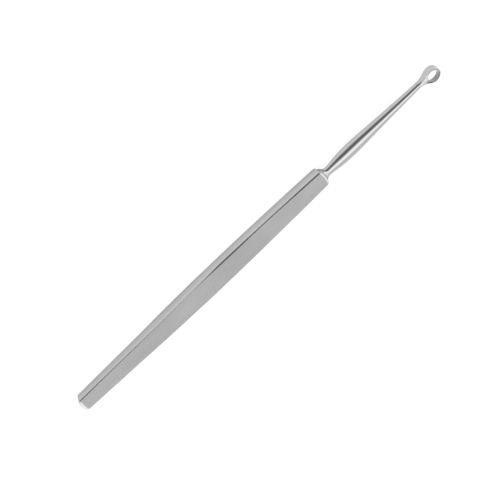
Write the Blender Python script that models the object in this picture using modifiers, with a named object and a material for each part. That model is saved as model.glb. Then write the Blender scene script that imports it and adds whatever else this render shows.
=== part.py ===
"""Dermal ring curette: a flat steel handle, a swelled shank and a ring-shaped cutting head.

Frame: metres, +Z up. The instrument lies on the flat underside of its handle. Its long axis runs along +X,
from the butt to the ring, it is the same on both sides of Y = 0, and the origin is under the middle of its
length. A station is a distance along the axis from the butt.
"""
import math

import bmesh
import bpy
from mathutils import Matrix

# Handle, a flat bar that is widest a little past its middle and thinner towards the butt
HANDLE_LENGTH = 0.0952
BUTT_WIDTH = 0.00505
WIDEST_WIDTH = 0.00768
FRONT_WIDTH = 0.00600
WIDEST_FROM_BUTT = 0.0575
BUTT_THICKNESS = 0.00262
FRONT_THICKNESS = 0.00320
LEVEL_FROM_BUTT = 0.062
BUTT_CROWN_RADIUS = 0.0070
FRONT_CROWN_RADIUS = 0.0090
LONG_EDGE_RADIUS = 0.00040
BUTT_UNDER_RADIUS = 0.00210
FRONT_UNDER_RADIUS = 0.00100
END_CORNER_RADIUS = 0.00035
front_power_share = 1.50

# Shank, from the handle's front to the seam at the ring's root
SHANK_LENGTH = 0.0369
COLLAR_WIDTH = 0.00490
COLLAR_FLARE_LENGTH = 0.00140
NECK_WIDTH = 0.00272
SWELL_WIDTH = 0.00421
TIP_WIDTH = 0.00198
SWELL_FROM_COLLAR = 0.0110
COLLAR_AXIS_HEIGHT = 0.00178
SHANK_AXIS_HEIGHT = 0.00197
TIP_AXIS_HEIGHT = 0.00210
collar_flatness_share = 0.56
neck_flatness_share = 0.80
swell_flatness_share = 0.82
tip_flatness_share = 1.0
flare_power_share = 1.9

# Tang on the shank and socket in the handle
TANG_LENGTH = 0.0095
TANG_WIDTH = 0.0026
TANG_THICKNESS = 0.0012
TANG_EDGE = 0.0002
TANG_OVERLAP = 0.0005

# Cutting ring, its flared root and its spigot
ROOT_LENGTH = 0.00515
RING_HEIGHT = 0.00185
RING_LOWER_DIAMETER = 0.00520
RING_UPPER_DIAMETER = 0.00500
BORE_LOWER_DIAMETER = 0.00464
BORE_UPPER_DIAMETER = 0.00350
RING_AXIS_HEIGHT = 0.00264
ROOT_HEIGHT = 0.00180
ROOT_RISE_LENGTH = 0.0034
RIM_RADIUS = 0.00018
LOWER_RIM_RADIUS = 0.00010
SPIGOT_DIAMETER = 0.0009
SPIGOT_LENGTH = 0.0022
SPIGOT_OVERLAP = 0.0006
root_rise_power_share = 3.4

# Fits
JOINT_GAP = 0.0003
CUT_OVERRUN = 0.002

# How a width passes from one named size to the next: share of the way along, share of the change
widest_to_butt_shares = ((0, 0), (0.1, 0.02), (0.22, 0.10), (0.36, 0.26), (0.5, 0.44), (0.7, 0.67), (1, 1))
neck_to_swell_shares = ((0, 0), (0.17, 0.20), (0.37, 0.60), (0.57, 0.85), (0.78, 0.97), (1, 1))
swell_to_tip_shares = ((0, 0), (0.12, 0.07), (0.25, 0.24), (0.5, 0.55), (0.75, 0.79), (1, 1))
tip_to_ring_shares = ((0, 0), (0.2, 0.12), (0.32, 0.27), (0.44, 0.50), (0.56, 0.76), (0.7, 0.95), (1, 1))

OUTLINE_STEPS = 28
CROWN_STEPS = 8
PROFILE_STEPS = 12
ROUND_STEPS = 32
EDGE_STEPS = 3
FLAT_ANGLE = math.radians(0.01)
EDGE_ANGLE = math.radians(30)

# Sizes and stations that follow from the sizes above
WELD_DISTANCE = JOINT_GAP / 1000
OVERALL_LENGTH = HANDLE_LENGTH + SHANK_LENGTH + ROOT_LENGTH + RING_LOWER_DIAMETER / 2
COLLAR_STATION = HANDLE_LENGTH + JOINT_GAP
NECK_STATION = COLLAR_STATION + COLLAR_FLARE_LENGTH
SWELL_STATION = HANDLE_LENGTH + SWELL_FROM_COLLAR
SEAM_STATION = HANDLE_LENGTH + SHANK_LENGTH
RING_STATION = SEAM_STATION + ROOT_LENGTH
CROWN_CENTRE_STATION = HANDLE_LENGTH - FRONT_CROWN_RADIUS


def x_at(station):
    """World X of a station."""
    return station - OVERALL_LENGTH / 2


def between(start, end, share):
    return start + (end - start) * share


def evenly(start, end, steps):
    return [between(start, end, i / steps) for i in range(steps + 1)]


def smooth_share(shares, way):
    """Read a smooth curve through the pairs in shares at way, from 0 to 1."""
    slopes = []
    last = len(shares) - 1
    for i in range(last + 1):
        before = shares[max(i - 1, 0)]
        after = shares[min(i + 1, last)]
        slopes.append((after[1] - before[1]) / (after[0] - before[0]))
    slopes[0] = 0
    for i in range(last):
        (x0, y0), (x1, y1) = shares[i], shares[i + 1]
        if way <= x1 or i == last - 1:
            span = x1 - x0
            f = min(max((way - x0) / span, 0), 1)
            return (y0 * (2 * f**3 - 3 * f**2 + 1) + y1 * (3 * f**2 - 2 * f**3)
                    + slopes[i] * span * (f**3 - 2 * f**2 + f) + slopes[i + 1] * span * (f**3 - f**2))


def handle_half_width(station):
    if station < WIDEST_FROM_BUTT:
        way = (WIDEST_FROM_BUTT - station) / WIDEST_FROM_BUTT
        return between(WIDEST_WIDTH, BUTT_WIDTH, smooth_share(widest_to_butt_shares, way)) / 2
    way = (station - WIDEST_FROM_BUTT) / (HANDLE_LENGTH - WIDEST_FROM_BUTT)
    return between(WIDEST_WIDTH, FRONT_WIDTH, way**front_power_share) / 2


def handle_thickness(station):
    way = min(station / LEVEL_FROM_BUTT, 1)
    return between(BUTT_THICKNESS, FRONT_THICKNESS, way)


def shank_half_width(station):
    """Half width of the shank and of the root, all along from the collar to the ring."""
    if station < NECK_STATION:
        way = max((station - COLLAR_STATION) / COLLAR_FLARE_LENGTH, 0)
        return between(NECK_WIDTH, COLLAR_WIDTH, (1 - way)**flare_power_share) / 2
    if station < SWELL_STATION:
        way = (station - NECK_STATION) / (SWELL_STATION - NECK_STATION)
        return between(NECK_WIDTH, SWELL_WIDTH, smooth_share(neck_to_swell_shares, way)) / 2
    if station < SEAM_STATION:
        way = (station - SWELL_STATION) / (SEAM_STATION - SWELL_STATION)
        return between(SWELL_WIDTH, TIP_WIDTH, smooth_share(swell_to_tip_shares, way)) / 2
    way = (station - SEAM_STATION) / ROOT_LENGTH
    return between(TIP_WIDTH, RING_UPPER_DIAMETER, smooth_share(tip_to_ring_shares, way)) / 2


def shank_half_height(station):
    if station < NECK_STATION:
        way = max((station - COLLAR_STATION) / COLLAR_FLARE_LENGTH, 0)
        flatness = between(collar_flatness_share, neck_flatness_share, way)
    elif station < SWELL_STATION:
        way = (station - NECK_STATION) / (SWELL_STATION - NECK_STATION)
        flatness = between(neck_flatness_share, swell_flatness_share, way)
    elif station < SEAM_STATION:
        way = (station - SWELL_STATION) / (SEAM_STATION - SWELL_STATION)
        flatness = between(swell_flatness_share, tip_flatness_share, way)
    else:
        return between(TIP_WIDTH * tip_flatness_share, ROOT_HEIGHT, way_up_root(station)) / 2
    return shank_half_width(station) * flatness


def axis_height(station):
    """Height of the shank's middle above the ground."""
    if station < NECK_STATION:
        way = max((station - COLLAR_STATION) / COLLAR_FLARE_LENGTH, 0)
        return between(COLLAR_AXIS_HEIGHT, SHANK_AXIS_HEIGHT, way)
    if station < SWELL_STATION:
        return SHANK_AXIS_HEIGHT
    if station < SEAM_STATION:
        way = (station - SWELL_STATION) / (SEAM_STATION - SWELL_STATION)
        return between(SHANK_AXIS_HEIGHT, TIP_AXIS_HEIGHT, way)
    return between(TIP_AXIS_HEIGHT, RING_AXIS_HEIGHT, way_up_root(station))


def way_up_root(station):
    """How far the root has risen from the shank's tip to the level of the ring."""
    way = min((station - SEAM_STATION) / ROOT_RISE_LENGTH, 1)
    return way**root_rise_power_share


def clear_scene():
    for old in list(bpy.data.objects):
        bpy.data.objects.remove(old)


def new_collection(name):
    collection = bpy.data.collections.new(name)
    bpy.context.scene.collection.children.link(collection)
    return collection


def steel(name, colour, roughness):
    material = bpy.data.materials.new(name)
    material.use_nodes = True
    shader = material.node_tree.nodes["Principled BSDF"]
    shader.inputs["Base Color"].default_value = (*colour, 1)
    shader.inputs["Metallic"].default_value = 1
    shader.inputs["Roughness"].default_value = roughness
    return material


def add_object(name, mesh, collection):
    """Add a working shape, which stays hidden unless finish_part makes a piece of it."""
    made = bpy.data.objects.new(name, mesh)
    collection.objects.link(made)
    made.hide_render = True
    made.display_type = "WIRE"
    return made


def mesh_of(obj, collection):
    """Turn a curve, or an object with modifiers, into a plain welded mesh object."""
    bpy.context.view_layer.update()
    graph = bpy.context.evaluated_depsgraph_get()
    mesh = bpy.data.meshes.new_from_object(obj.evaluated_get(graph))
    shape = bmesh.new()
    shape.from_mesh(mesh)
    bmesh.ops.remove_doubles(shape, verts=shape.verts, dist=WELD_DISTANCE)
    shape.to_mesh(mesh)
    shape.free()
    name = obj.name
    place = obj.matrix_world.copy()
    bpy.data.objects.remove(obj)
    plain = add_object(name, mesh, collection)
    plain.matrix_world = place
    return plain


def extruded_outline(name, points, thickness, collection):
    """A flat outline in the XY plane, given thickness along Z on both sides of it."""
    curve = bpy.data.curves.new(name, "CURVE")
    curve.dimensions = "2D"
    curve.fill_mode = "BOTH"
    curve.extrude = thickness / 2
    spline = curve.splines.new("POLY")
    spline.points.add(len(points) - 1)
    for point, (x, y) in zip(spline.points, points):
        point.co = (x, y, 0, 1)
    spline.use_cyclic_u = True
    made = bpy.data.objects.new(name, curve)
    collection.objects.link(made)
    plate = mesh_of(made, collection)
    shape = bmesh.new()
    shape.from_mesh(plate.data)
    bmesh.ops.dissolve_limit(shape, angle_limit=FLAT_ANGLE, verts=shape.verts, edges=shape.edges)
    shape.to_mesh(plate.data)
    shape.free()
    return plate


def boolean(target, tool, operation):
    step = target.modifiers.new(operation.title(), "BOOLEAN")
    step.object = tool
    step.operation = operation
    step.solver = "EXACT"


def turn(target, axis, steps):
    """Turn an outline round an axis through the origin, as on a lathe."""
    step = target.modifiers.new("Turn", "SCREW")
    step.axis = axis
    step.steps = steps
    step.render_steps = steps
    step.use_merge_vertices = True
    step.merge_threshold = WELD_DISTANCE


def round_marked_edges(target, radius):
    """Round the edges that mark_edges has marked, the most marked ones by radius."""
    step = target.modifiers.new("Edges", "BEVEL")
    step.width = radius
    step.segments = EDGE_STEPS
    step.limit_method = "WEIGHT"
    step.use_clamp_overlap = False


def mark_edges(obj, share_of_edge):
    """Mark each edge with the share of the bevel radius that share_of_edge gives for it."""
    shape = bmesh.new()
    shape.from_mesh(obj.data)
    marks = shape.edges.layers.float.new("bevel_weight_edge")
    for edge in shape.edges:
        edge[marks] = share_of_edge(edge)
    shape.to_mesh(obj.data)
    shape.free()


def arc(centre, radius, start, end):
    """Points on a crown's arc from start to end, both in radians."""
    points = []
    for angle in evenly(start, end, CROWN_STEPS):
        points.append((centre[0] + radius * math.cos(angle), centre[1] + radius * math.sin(angle)))
    return points


def handle_plan():
    """The handle's outline from above, round from the butt's left corner to its right corner."""
    butt_half_angle = math.asin(BUTT_WIDTH / 2 / BUTT_CROWN_RADIUS)
    front_half_angle = math.asin(FRONT_WIDTH / 2 / FRONT_CROWN_RADIUS)
    butt_corner = BUTT_CROWN_RADIUS * (1 - math.cos(butt_half_angle))
    front_corner = HANDLE_LENGTH - FRONT_CROWN_RADIUS * (1 - math.cos(front_half_angle))
    butt_centre = (x_at(BUTT_CROWN_RADIUS), 0)
    front_centre = (x_at(CROWN_CENTRE_STATION), 0)
    stations = evenly(butt_corner, front_corner, OUTLINE_STEPS)[1:-1]
    right = [(x_at(station), -handle_half_width(station)) for station in stations]
    left = [(x, -y) for x, y in reversed(right)]
    butt = arc(butt_centre, BUTT_CROWN_RADIUS, math.pi - butt_half_angle, math.pi + butt_half_angle)
    front = arc(front_centre, FRONT_CROWN_RADIUS, -front_half_angle, front_half_angle)
    return butt + right + front + left


def split_across(obj, station):
    """Add an edge loop round a bar where its slope changes."""
    shape = bmesh.new()
    shape.from_mesh(obj.data)
    bmesh.ops.bisect_plane(shape, geom=shape.verts[:] + shape.edges[:] + shape.faces[:],
                           dist=WELD_DISTANCE, plane_co=(x_at(station), 0, 0), plane_no=(1, 0, 0))
    shape.to_mesh(obj.data)
    shape.free()


def handle_edge_share(edge):
    """Share of the butt's under radius: its underside edge has it all, the other edges less."""
    first, second = (vertex.co for vertex in edge.verts)
    level = abs(first.z - second.z) < WELD_DISTANCE
    turn = edge.calc_face_angle(0)
    if turn < EDGE_ANGLE:
        return 0
    if not level:
        return END_CORNER_RADIUS / BUTT_UNDER_RADIUS
    across = abs(first.y - second.y) > abs(first.x - second.x)
    if first.z > 0 or not across:
        return LONG_EDGE_RADIUS / BUTT_UNDER_RADIUS
    if first.x < 0:
        return 1
    return FRONT_UNDER_RADIUS / BUTT_UNDER_RADIUS


def make_handle(parts, cutters, material):
    """A flat bar cut to its plan, rounded, tapered in thickness and bored for the tang."""
    bar = extruded_outline("handle", handle_plan(), FRONT_THICKNESS, cutters)
    mark_edges(bar, handle_edge_share)
    round_marked_edges(bar, BUTT_UNDER_RADIUS)
    bar = mesh_of(bar, cutters)
    split_across(bar, LEVEL_FROM_BUTT)
    for vertex in bar.data.vertices:
        station = vertex.co.x + OVERALL_LENGTH / 2
        height_share = vertex.co.z / FRONT_THICKNESS + 1 / 2
        vertex.co.z = height_share * handle_thickness(station)

    socket_length = TANG_LENGTH + JOINT_GAP + CUT_OVERRUN
    socket = box("handle_socket_cutter", socket_length, TANG_WIDTH + 2 * JOINT_GAP,
                 TANG_THICKNESS + 2 * JOINT_GAP, cutters)
    socket.location = (tang_rear_x() - JOINT_GAP + socket_length / 2, 0, FRONT_THICKNESS / 2)
    boolean(bar, socket, "DIFFERENCE")
    handle = mesh_of(bar, cutters)
    finish_part(handle, parts, material)


def tang_rear_x():
    return x_at(HANDLE_LENGTH - TANG_LENGTH)


def box(name, length, width, height, collection):
    mesh = bpy.data.meshes.new(name)
    shape = bmesh.new()
    bmesh.ops.create_cube(shape, size=1, matrix=Matrix.Diagonal((length, width, height, 1)))
    shape.to_mesh(mesh)
    shape.free()
    return add_object(name, mesh, collection)


def turned_and_flattened(name, stations, collection):
    """A round bar along X, turned from the shank's half widths and then pressed to its half heights."""
    mesh = bpy.data.meshes.new(name)
    shape = bmesh.new()
    outline = [(stations[0], 0)] + [(station, shank_half_width(station)) for station in stations]
    outline.append((stations[-1], 0))
    chain = [shape.verts.new((x_at(station), 0, radius)) for station, radius in outline]
    for first, second in zip(chain, chain[1:]):
        shape.edges.new((first, second))
    shape.to_mesh(mesh)
    shape.free()
    bar = add_object(name, mesh, collection)
    turn(bar, "X", ROUND_STEPS)
    bar = mesh_of(bar, collection)
    for vertex in bar.data.vertices:
        station = vertex.co.x + OVERALL_LENGTH / 2
        flatness = shank_half_height(station) / shank_half_width(station)
        vertex.co.z = axis_height(station) + vertex.co.z * flatness
    return bar


def disc(name, lower_diameter, upper_diameter, height, collection):
    mesh = bpy.data.meshes.new(name)
    shape = bmesh.new()
    bmesh.ops.create_cone(shape, cap_ends=True, segments=2 * ROUND_STEPS, radius1=lower_diameter / 2,
                          radius2=upper_diameter / 2, depth=height)
    shape.to_mesh(mesh)
    shape.free()
    return add_object(name, mesh, collection)


def pin(name, diameter, start_x, end_x, height, collection):
    """A round pin along X at a height above the ground."""
    made = disc(name, diameter, diameter, end_x - start_x, collection)
    made.rotation_euler = (0, math.pi / 2, 0)
    made.location = ((start_x + end_x) / 2, 0, height)
    return made


def finish_part(obj, parts, material):
    """Move a built piece among the parts and give it its steel."""
    for collection in list(obj.users_collection):
        collection.objects.unlink(obj)
    parts.objects.link(obj)
    obj.hide_render = False
    obj.display_type = "TEXTURED"
    obj.data.materials.clear()
    obj.data.materials.append(material)
    obj.data.shade_smooth()
    obj.data.set_sharp_from_angle(angle=EDGE_ANGLE)


def make_shank(parts, cutters, material):
    end = SEAM_STATION - JOINT_GAP / 2
    stations = [COLLAR_STATION - CUT_OVERRUN] + evenly(COLLAR_STATION, NECK_STATION, PROFILE_STEPS)
    stations += evenly(NECK_STATION, SWELL_STATION, PROFILE_STEPS)[1:]
    stations += evenly(SWELL_STATION, end, PROFILE_STEPS)[1:]
    shank = turned_and_flattened("shank", stations, cutters)

    crown_diameter = 2 * (FRONT_CROWN_RADIUS + JOINT_GAP)
    crown = disc("collar_cutter", crown_diameter, crown_diameter, COLLAR_WIDTH + 2 * CUT_OVERRUN, cutters)
    crown.location = (x_at(CROWN_CENTRE_STATION), 0, FRONT_THICKNESS / 2)
    boolean(shank, crown, "DIFFERENCE")

    tang_front = x_at(COLLAR_STATION + TANG_OVERLAP)
    tang = box("tang_joined", tang_front - tang_rear_x(), TANG_WIDTH, TANG_THICKNESS, cutters)
    tang.location = ((tang_front + tang_rear_x()) / 2, 0, FRONT_THICKNESS / 2)
    mark_edges(tang, lambda edge: 1)
    round_marked_edges(tang, TANG_EDGE)
    boolean(shank, tang, "UNION")

    hole = pin("tip_hole_cutter", SPIGOT_DIAMETER + 2 * JOINT_GAP, x_at(end - SPIGOT_LENGTH),
               x_at(end + CUT_OVERRUN), TIP_AXIS_HEIGHT, cutters)
    boolean(shank, hole, "DIFFERENCE")
    shank = mesh_of(shank, cutters)
    finish_part(shank, parts, material)


def ring_wall(name, collection):
    """The ring's wall, turned from its section: conical inside and out, with rounded rims."""
    half = RING_HEIGHT / 2
    corners = [
        (RING_UPPER_DIAMETER / 2, half), (RING_LOWER_DIAMETER / 2, -half),
        (BORE_LOWER_DIAMETER / 2, -half), (BORE_UPPER_DIAMETER / 2, half),
    ]
    radii = (RIM_RADIUS, LOWER_RIM_RADIUS, LOWER_RIM_RADIUS, RIM_RADIUS)
    mesh = bpy.data.meshes.new(name)
    shape = bmesh.new()
    verts = [shape.verts.new((radius, 0, height)) for radius, height in corners]
    shape.faces.new(verts)
    for corner, radius in zip(verts, radii):
        bmesh.ops.bevel(shape, geom=[corner], offset=radius, offset_type="OFFSET", segments=EDGE_STEPS,
                        affect="VERTICES", profile=0.5)
    bmesh.ops.delete(shape, geom=shape.faces[:], context="FACES_ONLY")
    shape.to_mesh(mesh)
    shape.free()
    wall = add_object(name, mesh, collection)
    turn(wall, "Z", 2 * ROUND_STEPS)
    return mesh_of(wall, collection)


def make_cutting_ring(parts, cutters, material):
    start = SEAM_STATION + JOINT_GAP / 2
    ring_middle = (x_at(RING_STATION), 0, RING_AXIS_HEIGHT)
    ring = turned_and_flattened("cutting_ring", evenly(start, RING_STATION, PROFILE_STEPS), cutters)

    lower_middle = (RING_LOWER_DIAMETER + BORE_LOWER_DIAMETER) / 2
    upper_middle = (RING_UPPER_DIAMETER + BORE_UPPER_DIAMETER) / 2
    spread = lower_middle - upper_middle
    # The cutter follows the middle of the conical wall and stands a wall's height out of it at both ends
    trim = disc("root_trim_cutter", lower_middle + spread, upper_middle - spread, 3 * RING_HEIGHT, cutters)
    trim.location = ring_middle
    boolean(ring, trim, "DIFFERENCE")

    wall = ring_wall("ring_joined", cutters)
    wall.location = ring_middle
    boolean(ring, wall, "UNION")

    spigot = pin("spigot_joined", SPIGOT_DIAMETER, x_at(start - SPIGOT_LENGTH + JOINT_GAP),
                 x_at(start + SPIGOT_OVERLAP), TIP_AXIS_HEIGHT, cutters)
    boolean(ring, spigot, "UNION")
    ring = mesh_of(ring, cutters)
    finish_part(ring, parts, material)


def main():
    clear_scene()
    parts = new_collection("dermal_ring_curette")
    cutters = new_collection("cutters")
    make_handle(parts, cutters, steel("handle_steel", (0.56, 0.57, 0.58), 0.38))
    make_shank(parts, cutters, steel("shank_steel", (0.56, 0.57, 0.58), 0.24))
    make_cutting_ring(parts, cutters, steel("ring_steel", (0.54, 0.55, 0.56), 0.30))


main()
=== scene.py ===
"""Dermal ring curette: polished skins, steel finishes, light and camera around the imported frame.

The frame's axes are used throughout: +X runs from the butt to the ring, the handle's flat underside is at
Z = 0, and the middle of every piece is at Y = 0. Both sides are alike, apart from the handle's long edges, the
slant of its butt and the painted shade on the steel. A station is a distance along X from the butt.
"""
import math

import bmesh
import bpy
from mathutils import Matrix, Vector


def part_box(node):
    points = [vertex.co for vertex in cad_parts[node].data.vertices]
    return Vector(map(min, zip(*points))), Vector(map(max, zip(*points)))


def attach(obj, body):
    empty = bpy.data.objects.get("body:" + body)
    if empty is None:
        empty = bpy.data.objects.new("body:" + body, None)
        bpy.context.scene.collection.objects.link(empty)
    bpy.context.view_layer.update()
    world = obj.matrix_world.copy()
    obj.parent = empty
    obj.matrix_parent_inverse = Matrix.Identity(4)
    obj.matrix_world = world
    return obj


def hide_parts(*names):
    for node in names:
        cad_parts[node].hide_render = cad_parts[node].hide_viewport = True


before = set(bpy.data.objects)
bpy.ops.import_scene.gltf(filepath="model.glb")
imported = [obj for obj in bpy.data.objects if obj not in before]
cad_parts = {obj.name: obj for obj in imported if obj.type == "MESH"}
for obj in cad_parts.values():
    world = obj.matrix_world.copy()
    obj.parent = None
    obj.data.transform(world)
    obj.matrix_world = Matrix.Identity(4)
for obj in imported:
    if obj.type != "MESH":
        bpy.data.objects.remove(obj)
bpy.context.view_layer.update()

# Places read from the frame
HANDLE_LOW, HANDLE_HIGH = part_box("handle")
BUTT_X = HANDLE_LOW.x
FRONT_X = HANDLE_HIGH.x
HANDLE_LENGTH = FRONT_X - BUTT_X
WIDEST_WIDTH = HANDLE_HIGH.y - HANDLE_LOW.y
FRONT_THICKNESS = HANDLE_HIGH.z

# Handle
BUTT_WIDTH = 0.00505
FRONT_WIDTH = 0.00600
WIDEST_FROM_BUTT = 0.0575
BUTT_THICKNESS = 0.00262
LEVEL_FROM_BUTT = 0.062
BUTT_CROWN_RADIUS = 0.0048
BUTT_CROWN_ASIDE = -0.0004
FRONT_CROWN_RADIUS = 0.0120
BUTT_UNDERCUT = 0.00120
FRONT_UNDER_RADIUS = 0.00125
UNDER_EDGE = 0.00030
BUTT_SLOPE_LENGTH = 0.00139
BUTT_SLOPE_DROP = 0.00038
FRONT_SLOPE_LENGTH = 0.00024
FRONT_REACH = 0.00026
FRONT_SLOPE_DROP = 0.00030
front_power_share = 1.50
undercut_power_share = 4.0
far_edge_share = 0.45
corner_power_share = 6
corner_least_share = 0.15

# Lattice of the handle's skin: rows along it by their distance from an end, columns from the -Y edge to the +Y
# edge, and levels from the underside to the broad face
END_ROW = 0.0026
STEADY_ROW = 0.0050
BODY_ROW = 0.0080
FRONT_ROW = 0.00080
BODY_CELLS = 22
FAR_COLUMNS = 3
PAINTED_SHADE_COLUMN = 7
FACET_COLUMN = 8
LAST_COLUMN = 9
SLOPE_LEVEL = 3
TOP_LEVEL = 5
low_level_share = 0.25

# How the end rows follow the butt's and the front's forms, from the end inward
butt_slope_row_shares = (0, 0.31, 0.62, 1)
butt_slope_shares = (1, 0.46, 0.13)
butt_crown_shares = (1, 0.50, 0.15, 0.06, 0)
butt_under_shares = (1, 0.97, 0.94, 0.82, 0.35)
front_crown_shares = (1, 0.85, 0.70, 0.50, 0.15)

# Shank
SEAM_HALF_GAP = 0.00001
COLLAR_GAP = 0.00003
SHANK_LENGTH = 0.0369
COLLAR_WIDTH = 0.00600
COLLAR_FLARE_LENGTH = 0.00175
NECK_WIDTH = 0.00295
SWELL_WIDTH = 0.00434
TIP_WIDTH = 0.00204
SWELL_FROM_COLLAR = 0.0110
COLLAR_AXIS_HEIGHT = 0.00172
SHANK_AXIS_HEIGHT = 0.00202
TIP_AXIS_HEIGHT = 0.00210
flare_power_share = 2.0
flank_power_share = 3.0
flank_fill_share = 0.62
# Painted shade on the collar's flanks: where across it begins and where it is full, and how far from the
# collar it fades
FLANK_SHADE_FROM = 0.00110
FLANK_SHADE_FULL = 0.00150
FLANK_SHADE_FADE = 0.00135
FLARE_CELLS = 24
SWELL_CELLS = 40
TAPER_CELLS = 90
SHANK_SIDES = 64
SHARP_ANGLE = math.radians(50)

# Ring and root
ROOT_LENGTH = 0.00515
RING_HEIGHT = 0.00185
RING_LOWER_RADIUS = 0.00260
RING_UPPER_RADIUS = 0.00255
BORE_LOWER_RADIUS = 0.00234
BORE_UPPER_RADIUS = 0.00172
RING_AXIS_HEIGHT = 0.00264
RIM_EDGE = 0.00020
ROOT_ARCH = 0.00020
ROOT_EDGE_RISE = 0.00028
root_leave_share = 1.5
root_arrive_share = 0.9
root_lean_share = 0.30
lean_power_share = 0.5
arch_power_share = 1.2
rim_climb_share = 0.30
rim_climb_side_share = 0.6

# Lattice of the ring: steps round it, steps that the root reaches to either side, and points of its section
RING_SEGMENTS = 24
ROOT_REACH = 5
OUTER_TOP = 4
UPPER_RIM = (4, 5, 6)
BORE = (7, 8, 9, 10)
root_row_shares = (0, 0.06, 0.2, 0.36, 0.52, 0.68, 0.84)
rim_drop_shares = (1, 0.5, 0.15)

# Painted shade on the upper rim, darker towards -Y: from how far towards -Y it begins, over how much of the
# way it grows, and its share from the outside inward
rim_shade_from_share = 0.05
rim_shade_span_share = 0.25
rim_shade_shares = (0.7, 1, 1)

# Smoothing of the handle and the ring
SKIN_LEVELS = 3

# Stations that follow
COLLAR_STATION = HANDLE_LENGTH + COLLAR_GAP
NECK_STATION = COLLAR_STATION + COLLAR_FLARE_LENGTH
SWELL_STATION = HANDLE_LENGTH + SWELL_FROM_COLLAR
SEAM_STATION = HANDLE_LENGTH + SHANK_LENGTH
RING_STATION = SEAM_STATION + ROOT_LENGTH

# The shank from the collar over the neck and the swell to the tip: height of its middle, height over width
shank_axis_heights = (COLLAR_AXIS_HEIGHT, SHANK_AXIS_HEIGHT, SHANK_AXIS_HEIGHT, TIP_AXIS_HEIGHT)
shank_flatness_shares = (0.40, 0.81, 0.84, 1.0)

# How a width passes from one named size to the next: share of the way along, share of the change
widest_to_butt_shares = ((0, 0), (0.1, 0.02), (0.22, 0.10), (0.36, 0.26), (0.5, 0.44), (0.7, 0.67), (1, 1))
neck_to_swell_shares = ((0, 0), (0.17, 0.20), (0.37, 0.60), (0.57, 0.85), (0.78, 0.97), (1, 1))
swell_to_tip_shares = ((0, 0), (0.12, 0.07), (0.25, 0.24), (0.5, 0.55), (0.75, 0.79), (1, 1))

# The long edge's narrow facet by station: breadth on the broad face, breadth on the side, softness of its ends
edge_facets = ((0, 0.00035, 0.00060, 0.00036), (0.018, 0.00023, 0.00041, 0.00030),
               (0.034, 0.00007, 0.00007, 0.00005), (0.0485, 0.00008, 0.00008, 0.00005),
               (0.056, 0.00036, 0.00048, 0.00008), (0.065, 0.00036, 0.00048, 0.00008),
               (0.070, 0.00026, 0.00042, 0.00010), (0.082, 0.00026, 0.00040, 0.00010),
               (0.0900, 0.00041, 0.00041, 0.00008), (0.0952, 0.00041, 0.00041, 0.00008))

# How far the polished skin stands above the plain bar's broad face, by station
skin_rises = ((0, 0.00014), (0.030, 0.00012), (0.045, -0.00003), (0.076, -0.00007), (0.087, 0.00006),
              (0.0952, 0.00010))

# How dark the broad face is painted, by station, as shares of the steel's painted shade tone: darker bands
# across the whole face, and painted shade over the highlight beside its +Y edge
face_painted_shades = ((0, 0, 0.9), (0.009, 0, 0.4), (0.0165, 0, 0.5), (0.0225, 0.14, 0.8), (0.028, 0.30, 0.7),
              (0.034, 0.08, 0.4), (0.046, 0, 0), (0.056, 0.13, 0.4), (0.062, 0.24, 0.6), (0.067, 0.16, 0.4),
              (0.074, 0, 0), (0.085, 0, 0), (0.0952, 0, 0.15))

# How far the ring's upper rim drops towards the root: share of the way out to the side, drop of its outer edge
rear_rim_drops = ((0, 0.00006), (0.26, 0.00044), (0.50, 0.00050), (0.71, 0.00050), (0.87, 0.00034), (1, 0))

# Steels: grey, roughness, strength of the streaks, reach of the painted shade along convex edges and tone of
# the painted shade marks
HANDLE_GREY = 0.525
HANDLE_ROUGHNESS = 0.26
HANDLE_EDGE_SHADE_REACH = 0.00035
SHANK_GREY = 0.54
SHANK_ROUGHNESS = 0.18
SHANK_EDGE_SHADE_REACH = 0.00020
RING_GREY = 0.54
RING_ROUGHNESS = 0.20
RING_EDGE_SHADE_REACH = 0.00012
handle_streak_share = 0.010
shank_streak_share = 0.012
ring_streak_share = 0.012
handle_shade_tone = 0.80
shank_shade_tone = 0.55
ring_shade_tone = 0.54

# Marks in the steel: cells to the metre along and across, and levels of detail
STREAK_CELLS = (220, 5200, 3)
SPECK_CELLS = (2600, 9000, 2)
CLOUD_CELLS = (90, 210, 3)
MARK_ROUGHNESS = 0.6
mark_core_shares = (0.3, 0.7)
cloud_tone_shares = (0.96, 1.02)
cloud_roughness_shares = (0.92, 1.08)
streak_roughness_shares = (0.88, 1.12)
streak_relief_share = 0.7
speck_relief_share = 0.3
RELIEF_STRENGTH = 0.12
RELIEF_DEPTH = 0.00001

# Painted shade along convex edges, and painted contact shade near the floor and in crevices: how open a place
# is, and the tones that this gives
CONTACT_SHADE_REACH = 0.0028
OPENNESS_SAMPLES = 8
edge_shade_open_shares = (0.45, 0.95)
edge_shade_tone_shares = (0.80, 1)
contact_shade_open_shares = (0.5, 1)
contact_shade_tone_shares = (0.70, 1)

# A Mix node's sockets for colours
MIX_FIRST = 6
MIX_SECOND = 7
MIX_RESULT = 2

# Floor
FLOOR_HALF_SIZE = 4
FLOOR_DROP = 0.00002
FLOOR_GREY = 0.09
FLOOR_ROUGHNESS = 0.9
FLOOR_SHINE = 0.1
FLOOR_GLOW = 0.94

# Tent of light: its strength by the angle in degrees from straight up, positive towards +Y
TENT_PEAK = 2.0
tent_tones = ((-92, 1.00), (-62, 0.90), (-46, 0.78), (-34, 0.90), (-20, 1.30), (-6, 1.75), (6, 1.60),
              (16, 1.05), (26, 0.40), (36, 0.19), (64, 0.17), (76, 0.45), (90, 0.80), (100, 0.90))

# Two soft boxes at the tent's ends: where they begin and end, as shares of a unit direction
BOX_STRENGTH = 1.75
box_aside_shares = (0.28, 0.42)
box_low_shares = (0.02, 0.18)
box_high_shares = (0.66, 0.84)
box_depth_shares = (-0.1, 0.2)
box_front_share = 0.38

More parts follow.
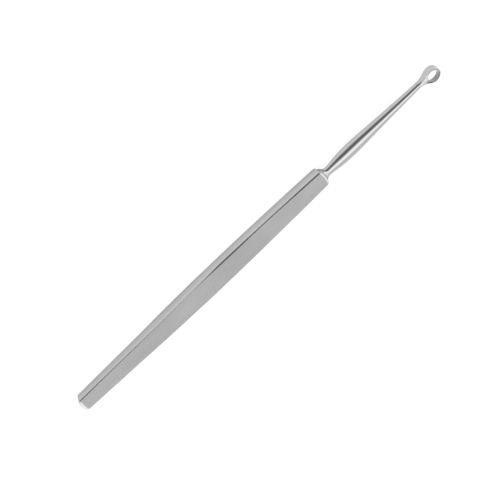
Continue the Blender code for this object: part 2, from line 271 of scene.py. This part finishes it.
# Photograph's view
VIEW_AIM = Vector((BUTT_X + 0.06543, 0, 0.00140))
VIEW_TILT = math.radians(46.5)
VIEW_ROLL = math.radians(43.646)
VIEW_DISTANCE = 0.500
VIEW_WIDTH = 0.14034
VIEW_CLIP = 20
SENSOR_MM = 36


def between(start, end, share):
    return start + (end - start) * share


def held(way):
    return min(max(way, 0), 1)


def eased(way):
    way = held(way)
    return way * way * (3 - 2 * way)


def curve_at(start, end, leaving, arriving, way):
    """Read the smooth curve that leaves its start and arrives at its end as given, at way."""
    return (start * (2 * way**3 - 3 * way**2 + 1) + end * (3 * way**2 - 2 * way**3)
            + leaving * (way**3 - 2 * way**2 + way) + arriving * (way**3 - way**2))


def x_at(station):
    return BUTT_X + station


def smooth_share(shares, way):
    """Read a smooth curve through the pairs in shares at way."""
    slopes = []
    last = len(shares) - 1
    for i in range(last + 1):
        before = shares[max(i - 1, 0)]
        after = shares[min(i + 1, last)]
        slopes.append((after[1] - before[1]) / (after[0] - before[0]))
    slopes[0] = 0
    for i in range(last):
        (x0, y0), (x1, y1) = shares[i], shares[i + 1]
        if way <= x1 or i == last - 1:
            span = x1 - x0
            return curve_at(y0, y1, slopes[i] * span, slopes[i + 1] * span, held((way - x0) / span))


def stepped(rows, at):
    """Read rows of place and values at a place, easing from each row to the next."""
    for low, high in zip(rows, rows[1:]):
        if at <= high[0]:
            way = eased((at - low[0]) / (high[0] - low[0]))
            return [between(a, b, way) for a, b in zip(low[1:], high[1:])]
    return list(rows[-1][1:])


def handle_half_width(station):
    if station < WIDEST_FROM_BUTT:
        way = (WIDEST_FROM_BUTT - station) / WIDEST_FROM_BUTT
        return between(WIDEST_WIDTH, BUTT_WIDTH, smooth_share(widest_to_butt_shares, way)) / 2
    way = (station - WIDEST_FROM_BUTT) / (HANDLE_LENGTH - WIDEST_FROM_BUTT)
    return between(WIDEST_WIDTH, FRONT_WIDTH, way**front_power_share) / 2


def handle_thickness(station):
    rise, = stepped(skin_rises, station)
    return between(BUTT_THICKNESS, FRONT_THICKNESS, min(station / LEVEL_FROM_BUTT, 1)) + rise


def shank_way(station):
    """The stretch of the shank at a station, 0 flare, 1 neck to swell or 2 taper, and the way along it."""
    if station < NECK_STATION:
        return 0, max((station - COLLAR_STATION) / COLLAR_FLARE_LENGTH, 0)
    if station < SWELL_STATION:
        return 1, (station - NECK_STATION) / (SWELL_STATION - NECK_STATION)
    return 2, (station - SWELL_STATION) / (SEAM_STATION - SWELL_STATION)


def shank_half_width(station):
    stretch, way = shank_way(station)
    if stretch == 0:
        return between(NECK_WIDTH, COLLAR_WIDTH, (1 - way)**flare_power_share) / 2
    if stretch == 1:
        return between(NECK_WIDTH, SWELL_WIDTH, smooth_share(neck_to_swell_shares, way)) / 2
    return between(SWELL_WIDTH, TIP_WIDTH, smooth_share(swell_to_tip_shares, way)) / 2


def shank_flatness(station):
    stretch, way = shank_way(station)
    return between(shank_flatness_shares[stretch], shank_flatness_shares[stretch + 1], eased(way))


def shank_axis_height(station):
    stretch, way = shank_way(station)
    return between(shank_axis_heights[stretch], shank_axis_heights[stretch + 1], eased(way))


def shank_section(station, angle):
    """Place on the shank's section: an ellipse that is drawn out at both sides where the collar flares."""
    half = shank_half_width(station)
    tall = half * shank_flatness(station)
    core = min(half, NECK_WIDTH / 2) if station < NECK_STATION else half
    fill = between(flank_fill_share, 1, eased((station - COLLAR_STATION) / COLLAR_FLARE_LENGTH))
    across, up = math.cos(angle), math.sin(angle)
    y = core * across + math.copysign((half - core) * abs(across)**flank_power_share, across)
    return y, shank_axis_height(station) + math.copysign(tall * abs(up)**fill, up)


def new_piece(name, shape, steel, node):
    """Finish a skin: smooth it, give it its steel and let it stand for its CAD node."""
    bmesh.ops.recalc_face_normals(shape, faces=shape.faces)
    mesh = bpy.data.meshes.new(name)
    shape.to_mesh(mesh)
    shape.free()
    mesh.shade_smooth()
    mesh.materials.append(steel)
    piece = bpy.data.objects.new(name, mesh)
    bpy.context.scene.collection.objects.link(piece)
    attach(piece, "root")
    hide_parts(node)
    return piece


def subdivide(piece):
    step = piece.modifiers.new("Smooth", "SUBSURF")
    step.levels = SKIN_LEVELS
    step.render_levels = SKIN_LEVELS


def join_loops(shape, loops):
    """Add a band of faces between each loop of points and the next."""
    for rear, fore in zip(loops, loops[1:]):
        for j in range(len(rear)):
            shape.faces.new((rear[j - 1], rear[j], fore[j], fore[j - 1]))


def grid_box(counts, place, painted_shade_at):
    """The surface of a box of cells: place(i, j, k) and painted_shade_at(i, j, k) give each corner of the
    lattice and its share of painted shade.
    """
    shape = bmesh.new()
    painted_shade = shape.verts.layers.float.new("painted_shade")
    corners = {}

    def corner(key):
        if key not in corners:
            corners[key] = shape.verts.new(place(*key))
            corners[key][painted_shade] = painted_shade_at(*key)
        return corners[key]

    for axis in range(3):
        first, second = [other for other in range(3) if other != axis]
        for end in (0, counts[axis]):
            for a in range(counts[first]):
                for b in range(counts[second]):
                    face = []
                    for da, db in ((0, 0), (1, 0), (1, 1), (0, 1)):
                        key = [0, 0, 0]
                        key[axis] = end
                        key[first] = a + da
                        key[second] = b + db
                        face.append(corner(tuple(key)))
                    shape.faces.new(face)
    return shape


def crown_depth(radius, across):
    """How far an end that is crowned with this radius lies back at a place across it."""
    return radius - math.sqrt(radius**2 - across**2)


def rounded_corner(station, height, side_share):
    """Bend the corner between the handle's front and underside into a quarter circle, most at the sides."""
    radius = FRONT_UNDER_RADIUS * between(corner_least_share, 1, side_share**corner_power_share)
    ahead = 1 - (HANDLE_LENGTH - station) / radius
    below = 1 - height / radius
    if ahead <= 0 or below <= 0:
        return station, height
    bent_ahead = ahead * math.sqrt(1 - below**2 / 2)
    bent_below = below * math.sqrt(1 - ahead**2 / 2)
    return HANDLE_LENGTH - radius * (1 - bent_ahead), radius * (1 - bent_below)


def make_handle(steel):
    """A flat bar with faceted long edges, a crowned butt that slopes off and a crowned front."""
    lead = [BUTT_SLOPE_LENGTH * share for share in butt_slope_row_shares] + [END_ROW, STEADY_ROW]
    body = [between(BODY_ROW, HANDLE_LENGTH - BODY_ROW, i / BODY_CELLS) for i in range(BODY_CELLS + 1)]
    tail = (STEADY_ROW, END_ROW, FRONT_UNDER_RADIUS, FRONT_ROW, FRONT_SLOPE_LENGTH, 0)
    stations = lead + body + [HANDLE_LENGTH - row for row in tail]
    last = len(stations) - 1

    def place(i, j, k):
        station = stations[i]
        half = handle_half_width(station)
        thickness = handle_thickness(station)
        top_edge, side_edge, soft = stepped(edge_facets, station)
        far = far_edge_share
        inner = half - top_edge - soft
        ys = (-half, -half + top_edge * far, -half + (top_edge + soft) * far, -half / 2, 0, half / 2,
              between(half / 2, inner, 0.5), inner, half - top_edge, half)
        if j < FAR_COLUMNS:
            top_edge, side_edge, soft = top_edge * far, side_edge * far, soft * far
        zs = (0, UNDER_EDGE, thickness * low_level_share, thickness - side_edge - soft, thickness - side_edge,
              thickness)
        y, z = ys[j], zs[k]
        if j in (0, LAST_COLUMN) and k == TOP_LEVEL:
            y = math.copysign(half - top_edge / 2, y)
            z = thickness - side_edge / 2
        elif j in (0, LAST_COLUMN) and k == 0:
            y = math.copysign(half - UNDER_EDGE / 2, y)
            z = UNDER_EDGE / 2
        elif j in (1, FACET_COLUMN) and k == 0:
            y = math.copysign(half - UNDER_EDGE, y)
        shift = 0
        if i < len(butt_crown_shares):
            crown = crown_depth(BUTT_CROWN_RADIUS, y - BUTT_CROWN_ASIDE)
            under = BUTT_UNDERCUT * (1 - z / thickness)**undercut_power_share
            shift = crown * butt_crown_shares[i] + under * butt_under_shares[i]
            if i < len(butt_slope_shares) and k >= SLOPE_LEVEL:
                z -= BUTT_SLOPE_DROP * butt_slope_shares[i]
        elif i > last - len(front_crown_shares):
            station, z = rounded_corner(station, z, min(abs(y) / half, 1))
            shift = -crown_depth(FRONT_CROWN_RADIUS, y) * front_crown_shares[last - i]
            if i == last and k >= SLOPE_LEVEL:
                z -= FRONT_SLOPE_DROP
                shift += FRONT_REACH
        return x_at(station) + shift, y, z

    # Painted shade on the broad face: darker bands by station across it, and painted shade over the highlight
    # beside its +Y edge
    def painted_shade_at(i, j, k):
        face, beside = stepped(face_painted_shades, stations[i])
        if k < TOP_LEVEL or j in (0, FACET_COLUMN, LAST_COLUMN):
            return 0
        return beside if j == PAINTED_SHADE_COLUMN else face

    shape = grid_box((last, LAST_COLUMN, TOP_LEVEL), place, painted_shade_at)
    subdivide(new_piece("handle_bar", shape, steel, "handle"))


def make_shank(steel):
    """Collar, neck, swell and taper as one turned and slightly flattened bar."""
    tip = SEAM_STATION - SEAM_HALF_GAP
    stations = [between(COLLAR_STATION, NECK_STATION, i / FLARE_CELLS) for i in range(FLARE_CELLS)]
    stations += [between(NECK_STATION, SWELL_STATION, i / SWELL_CELLS) for i in range(SWELL_CELLS)]
    stations += [between(SWELL_STATION, tip, i / TAPER_CELLS) for i in range(TAPER_CELLS + 1)]
    shape = bmesh.new()
    painted_shade = shape.verts.layers.float.new("painted_shade")
    loops = []
    for station in stations:
        # Painted shade on the collar's flanks, over the highlight there, fading out along the flare
        fade = eased(2 * (1 - (station - COLLAR_STATION) / FLANK_SHADE_FADE))
        loop = []
        for j in range(SHANK_SIDES):
            y, z = shank_section(station, 2 * math.pi * j / SHANK_SIDES)
            crown = crown_depth(FRONT_CROWN_RADIUS, y) if station == stations[0] else 0
            vert = shape.verts.new((x_at(station) - crown, y, z))
            vert[painted_shade] = eased((abs(y) - FLANK_SHADE_FROM) / (FLANK_SHADE_FULL - FLANK_SHADE_FROM)) * fade
            loop.append(vert)
        loops.append(loop)
    join_loops(shape, loops)
    for loop in (loops[0], loops[-1]):
        middle = shape.verts.new(sum((vert.co for vert in loop), Vector()) / SHANK_SIDES)
        for j in range(SHANK_SIDES):
            shape.faces.new((loop[j - 1], loop[j], middle))
    piece = new_piece("shank_bar", shape, steel, "shank")
    piece.data.set_sharp_from_angle(angle=SHARP_ANGLE)


def ring_section():
    """The wall's section as radius and height, from the outer lower edge round to the inner lower edge."""
    half = RING_HEIGHT / 2

    def outer(height):
        return between(RING_LOWER_RADIUS, RING_UPPER_RADIUS, (height + half) / RING_HEIGHT), height

    def inner(height):
        return between(BORE_LOWER_RADIUS, BORE_UPPER_RADIUS, (height + half) / RING_HEIGHT), height

    return [outer(-half), outer(-half + RIM_EDGE), outer(0), outer(half - RIM_EDGE), outer(half),
            (between(RING_UPPER_RADIUS, BORE_UPPER_RADIUS, 0.5), half),
            inner(half), inner(half - RIM_EDGE), inner(0), inner(-half + RIM_EDGE), inner(-half),
            (between(RING_LOWER_RADIUS, BORE_LOWER_RADIUS, 0.5), -half)]


def add_wall(shape):
    """Add the ring's wall, left open where the root runs in, and return its loops of points."""
    section = ring_section()
    centre = Vector((x_at(RING_STATION), 0, RING_AXIS_HEIGHT))
    painted_shade = shape.verts.layers.float.new("painted_shade")
    wall = []
    for i in range(RING_SEGMENTS):
        angle = 2 * math.pi * i / RING_SEGMENTS
        loop = []
        for j, (radius, height) in enumerate(section):
            # Painted shade: the bore all over, and the upper rim growing darker towards -Y
            shade_share = 1 if j in BORE else 0
            if j in UPPER_RIM:
                shade_share = held((-math.sin(angle) - rim_shade_from_share) / rim_shade_span_share)
                shade_share *= rim_shade_shares[j - OUTER_TOP]
                if math.cos(angle) < 0:
                    drop, = stepped(rear_rim_drops, abs(math.sin(angle)))
                    height -= drop * rim_drop_shares[j - OUTER_TOP]
            place = Vector((radius * math.cos(angle), radius * math.sin(angle), height))
            vert = shape.verts.new(centre + place)
            vert[painted_shade] = shade_share
            loop.append(vert)
        wall.append(loop)
    rear = RING_SEGMENTS // 2
    for i in range(RING_SEGMENTS):
        fore = wall[(i + 1) % RING_SEGMENTS]
        for j in range(len(section)):
            if j < OUTER_TOP and rear - ROOT_REACH <= i < rear + ROOT_REACH:
                continue
            after = (j + 1) % len(section)
            shape.faces.new((wall[i][j], fore[j], fore[after], wall[i][after]))
    return wall


def add_root(shape, wall):
    """Add the root: loops that pass from the round tip into the opening in the ring's wall."""
    first = RING_SEGMENTS // 2 - ROOT_REACH
    last = RING_SEGMENTS // 2 + ROOT_REACH
    rim = [(i, OUTER_TOP) for i in range(first, last + 1)]
    rim += [(last, j) for j in range(OUTER_TOP - 1, 0, -1)]
    rim += [(i, 0) for i in range(last, first - 1, -1)]
    rim += [(first, j) for j in range(1, OUTER_TOP)]
    tip_x = x_at(SEAM_STATION + SEAM_HALF_GAP)
    tip_half = shank_half_width(SEAM_STATION)
    tip_tall = tip_half * shank_flatness_shares[-1]
    first_angle = math.pi / 2 - math.pi * 2 * ROOT_REACH / len(rim)
    loops = []
    for way in root_row_shares:
        swell = math.sin(math.pi * way**arch_power_share)
        lean = math.sin(math.pi * way) * (1 - way)**lean_power_share
        loop = []
        for step, (i, j) in enumerate(rim):
            angle = first_angle + 2 * math.pi * step / len(rim)
            start = Vector((tip_x, tip_half * math.cos(angle), TIP_AXIS_HEIGHT + tip_tall * math.sin(angle)))
            end = wall[i][j].co
            turn = 2 * math.pi * i / RING_SEGMENTS
            side = abs(math.sin(turn))
            along = Vector((side, -math.cos(turn) * math.sin(turn), 0)).normalized()
            arrive = Vector((1, 0, 0)).lerp(along, side).normalized()
            if j >= OUTER_TOP - 1:
                arrive.z += rim_climb_share * (1 - rim_climb_side_share * side)
            length = (end - start).length
            point = curve_at(start, end, Vector((length * root_leave_share, 0, 0)),
                             arrive * length * root_arrive_share, way)
            point.y *= 1 - root_lean_share * lean * j / OUTER_TOP
            if j == OUTER_TOP:
                point.z += ROOT_ARCH * swell * (1 - side)**2 + ROOT_EDGE_RISE * lean * side
            loop.append(shape.verts.new(point))
        loops.append(loop)
    join_loops(shape, loops + [[wall[i][j] for i, j in rim]])
    creases = shape.edges.layers.float.new("crease_edge")
    for edge in shape.faces.new(loops[0]).edges:
        edge[creases] = 1


def make_ring(steel):
    """The ring's wall with its flared root, one smooth surface."""
    shape = bmesh.new()
    wall = add_wall(shape)
    add_root(shape, wall)
    subdivide(new_piece("ring_head", shape, steel, "cutting_ring"))


def add_math(tree, kind, first, second):
    """Add a Math node. Each of its two inputs is a number or another node's output."""
    step = tree.nodes.new("ShaderNodeMath")
    step.operation = kind
    for socket, value in zip(step.inputs, (first, second)):
        if isinstance(value, (int, float)):
            socket.default_value = value
        else:
            tree.links.new(value, socket)
    return step.outputs["Value"]


def add_range(tree, value, source, target, kind="LINEAR"):
    """Add a Map Range node that carries a value from the source range over to the target range."""
    step = tree.nodes.new("ShaderNodeMapRange")
    step.interpolation_type = kind
    for socket, amount in zip(("From Min", "From Max", "To Min", "To Max"), (*source, *target)):
        step.inputs[socket].default_value = amount
    tree.links.new(value, step.inputs["Value"])
    return step.outputs["Result"]


def make_steel(name, grey, roughness, streak_share, edge_shade_reach, painted_shade_tone):
    """Finely ground steel: streaks along the instrument, a fine grain, clouded marks, painted shade along
    convex edges, painted contact shade near the floor and in crevices, and painted shade where the vertices
    are marked.
    """
    material = bpy.data.materials.new(name)
    material.use_nodes = True
    tree = material.node_tree
    shader = tree.nodes["Principled BSDF"]
    shader.inputs["Metallic"].default_value = 1
    place = tree.nodes.new("ShaderNodeTexCoord").outputs["Object"]

    def noise(cells_along, cells_across, detail):
        stretch = tree.nodes.new("ShaderNodeMapping")
        stretch.inputs["Scale"].default_value = (cells_along, cells_across, cells_across)
        tree.links.new(place, stretch.inputs["Vector"])
        texture = tree.nodes.new("ShaderNodeTexNoise")
        texture.inputs["Scale"].default_value = 1
        texture.inputs["Detail"].default_value = detail
        texture.inputs["Roughness"].default_value = MARK_ROUGHNESS
        tree.links.new(stretch.outputs["Vector"], texture.inputs["Vector"])
        return texture.outputs["Fac"]

    def openness(reach, inside):
        probe = tree.nodes.new("ShaderNodeAmbientOcclusion")
        probe.inside = inside
        probe.only_local = inside
        probe.samples = OPENNESS_SAMPLES
        probe.inputs["Distance"].default_value = reach
        return probe.outputs["AO"]

    def multiply(first, second):
        return add_math(tree, "MULTIPLY", first, second)

    streaks = noise(*STREAK_CELLS)
    specks = noise(*SPECK_CELLS)
    clouds = noise(*CLOUD_CELLS)

    tone = multiply(add_range(tree, clouds, mark_core_shares, cloud_tone_shares),
                    add_range(tree, streaks, mark_core_shares, (1 - streak_share, 1 + streak_share)))
    # Painted shade along convex edges, found by probing inside the steel
    edge_shade = add_range(tree, openness(edge_shade_reach, True), edge_shade_open_shares, edge_shade_tone_shares, "SMOOTHSTEP")
    # Painted contact shade where the floor or another part is near, in crevices and at the seams
    contact_shade = add_range(tree, openness(CONTACT_SHADE_REACH, False), contact_shade_open_shares, contact_shade_tone_shares)
    # Painted shade from the vertex marks: the bore, the rim towards -Y, the collar's flanks and the broad face
    shade_attribute = tree.nodes.new("ShaderNodeAttribute")
    shade_attribute.attribute_name = "painted_shade"
    painted_shade_factor = add_range(tree, shade_attribute.outputs["Fac"], (0, 1), (1, painted_shade_tone))
    for factor in (edge_shade, contact_shade, painted_shade_factor):
        tone = multiply(tone, factor)
    tint = tree.nodes.new("ShaderNodeMix")
    tint.data_type = "RGBA"
    tint.blend_type = "MULTIPLY"
    tint.inputs["Factor"].default_value = 1
    tint.inputs[MIX_FIRST].default_value = (grey, grey, grey, 1)
    tree.links.new(tone, tint.inputs[MIX_SECOND])
    tree.links.new(tint.outputs[MIX_RESULT], shader.inputs["Base Color"])

    ground = [roughness * share for share in streak_roughness_shares]
    rough = multiply(add_range(tree, streaks, mark_core_shares, ground),
                     add_range(tree, clouds, mark_core_shares, cloud_roughness_shares))
    tree.links.new(rough, shader.inputs["Roughness"])

    relief = add_math(tree, "ADD", multiply(streaks, streak_relief_share),
                      multiply(specks, speck_relief_share))
    bump = tree.nodes.new("ShaderNodeBump")
    bump.inputs["Strength"].default_value = RELIEF_STRENGTH
    bump.inputs["Distance"].default_value = RELIEF_DEPTH
    tree.links.new(relief, bump.inputs["Height"])
    tree.links.new(bump.outputs["Normal"], shader.inputs["Normal"])
    return material


def make_floor():
    """A pale floor that gives off a little light of its own, so it stays even."""
    mesh = bpy.data.meshes.new("floor")
    shape = bmesh.new()
    bmesh.ops.create_grid(shape, x_segments=1, y_segments=1, size=FLOOR_HALF_SIZE)
    shape.to_mesh(mesh)
    shape.free()
    floor = bpy.data.objects.new("floor", mesh)
    floor.location = (0, 0, -FLOOR_DROP)
    bpy.context.scene.collection.objects.link(floor)
    material = bpy.data.materials.new("floor_white")
    material.use_nodes = True
    shader = material.node_tree.nodes["Principled BSDF"]
    shader.inputs["Base Color"].default_value = (FLOOR_GREY, FLOOR_GREY, FLOOR_GREY, 1)
    shader.inputs["Roughness"].default_value = FLOOR_ROUGHNESS
    shader.inputs["Specular IOR Level"].default_value = FLOOR_SHINE
    shader.inputs["Emission Color"].default_value = (1, 1, 1, 1)
    shader.inputs["Emission Strength"].default_value = FLOOR_GLOW
    mesh.materials.append(material)


def make_world():
    """A soft tent: bright above, pale behind, dim on the viewer's side, two soft boxes at the ends."""
    world = bpy.data.worlds.new("tent")
    world.use_nodes = True
    bpy.context.scene.world = world
    tree = world.node_tree
    parts = tree.nodes.new("ShaderNodeSeparateXYZ")
    tree.links.new(tree.nodes.new("ShaderNodeTexCoord").outputs["Generated"], parts.inputs["Vector"])
    x, y, z = (parts.outputs[axis] for axis in "XYZ")

    # Angle from straight up, positive towards +Y, as a share of a full turn
    turn = add_range(tree, add_math(tree, "ARCTAN2", y, z), (-math.pi, math.pi), (0, 1))
    ramp = tree.nodes.new("ShaderNodeValToRGB")
    stops = ramp.color_ramp.elements
    while len(stops) < len(tent_tones):
        stops.new(0.5)
    for stop, (degrees, tone) in zip(stops, tent_tones):
        stop.position = degrees / 360 + 0.5
        stop.color = (tone / TENT_PEAK, tone / TENT_PEAK, tone / TENT_PEAK, 1)
    tree.links.new(turn, ramp.inputs["Fac"])
    tent = add_math(tree, "MULTIPLY", ramp.outputs["Color"], TENT_PEAK)

    side = add_range(tree, add_math(tree, "ABSOLUTE", x, 0), box_aside_shares, (0, 1), "SMOOTHSTEP")
    low = add_range(tree, z, box_low_shares, (0, 1), "SMOOTHSTEP")
    high = add_range(tree, z, box_high_shares, (1, 0), "SMOOTHSTEP")
    depth = add_range(tree, y, box_depth_shares, (1, box_front_share), "SMOOTHSTEP")
    boxes = side
    for factor in (low, high, depth, BOX_STRENGTH):
        boxes = add_math(tree, "MULTIPLY", boxes, factor)
    light = add_math(tree, "MAXIMUM", tent, boxes)
    mixed = tree.nodes.new("ShaderNodeMix")
    tree.links.new(tree.nodes.new("ShaderNodeLightPath").outputs["Is Camera Ray"], mixed.inputs["Factor"])
    tree.links.new(light, mixed.inputs["A"])
    mixed.inputs["B"].default_value = 1
    background = tree.nodes["Background"]
    tree.links.new(mixed.outputs["Result"], background.inputs["Strength"])
    background.inputs["Color"].default_value = (1, 1, 1, 1)


def make_camera():
    """The photograph's view: above the broad face, tipped over its +Y side and rolled in the frame."""
    back = Vector((0, math.sin(VIEW_TILT), math.cos(VIEW_TILT)))
    across = Vector((0, math.cos(VIEW_TILT), -math.sin(VIEW_TILT)))
    along = Vector((1, 0, 0))
    right = along * math.cos(VIEW_ROLL) - across * math.sin(VIEW_ROLL)
    up = along * math.sin(VIEW_ROLL) + across * math.cos(VIEW_ROLL)
    camera = bpy.data.objects.new("photo_view", bpy.data.cameras.new("photo_view"))
    camera.matrix_world = (Matrix.Translation(VIEW_AIM + back * VIEW_DISTANCE)
                           @ Matrix((right, up, back)).transposed().to_4x4())
    camera.data.sensor_width = SENSOR_MM
    camera.data.lens = SENSOR_MM * VIEW_DISTANCE / VIEW_WIDTH
    camera.data.clip_end = VIEW_CLIP
    bpy.context.scene.collection.objects.link(camera)
    bpy.context.scene.camera = camera


make_handle(make_steel("handle_steel_satin", HANDLE_GREY, HANDLE_ROUGHNESS, handle_streak_share,
                       HANDLE_EDGE_SHADE_REACH, handle_shade_tone))
make_shank(make_steel("shank_steel_polished", SHANK_GREY, SHANK_ROUGHNESS, shank_streak_share,
                      SHANK_EDGE_SHADE_REACH, shank_shade_tone))
make_ring(make_steel("ring_steel_ground", RING_GREY, RING_ROUGHNESS, ring_streak_share,
                     RING_EDGE_SHADE_REACH, ring_shade_tone))
make_floor()
make_world()
make_camera()
bpy.context.scene.view_settings.view_transform = "Standard"
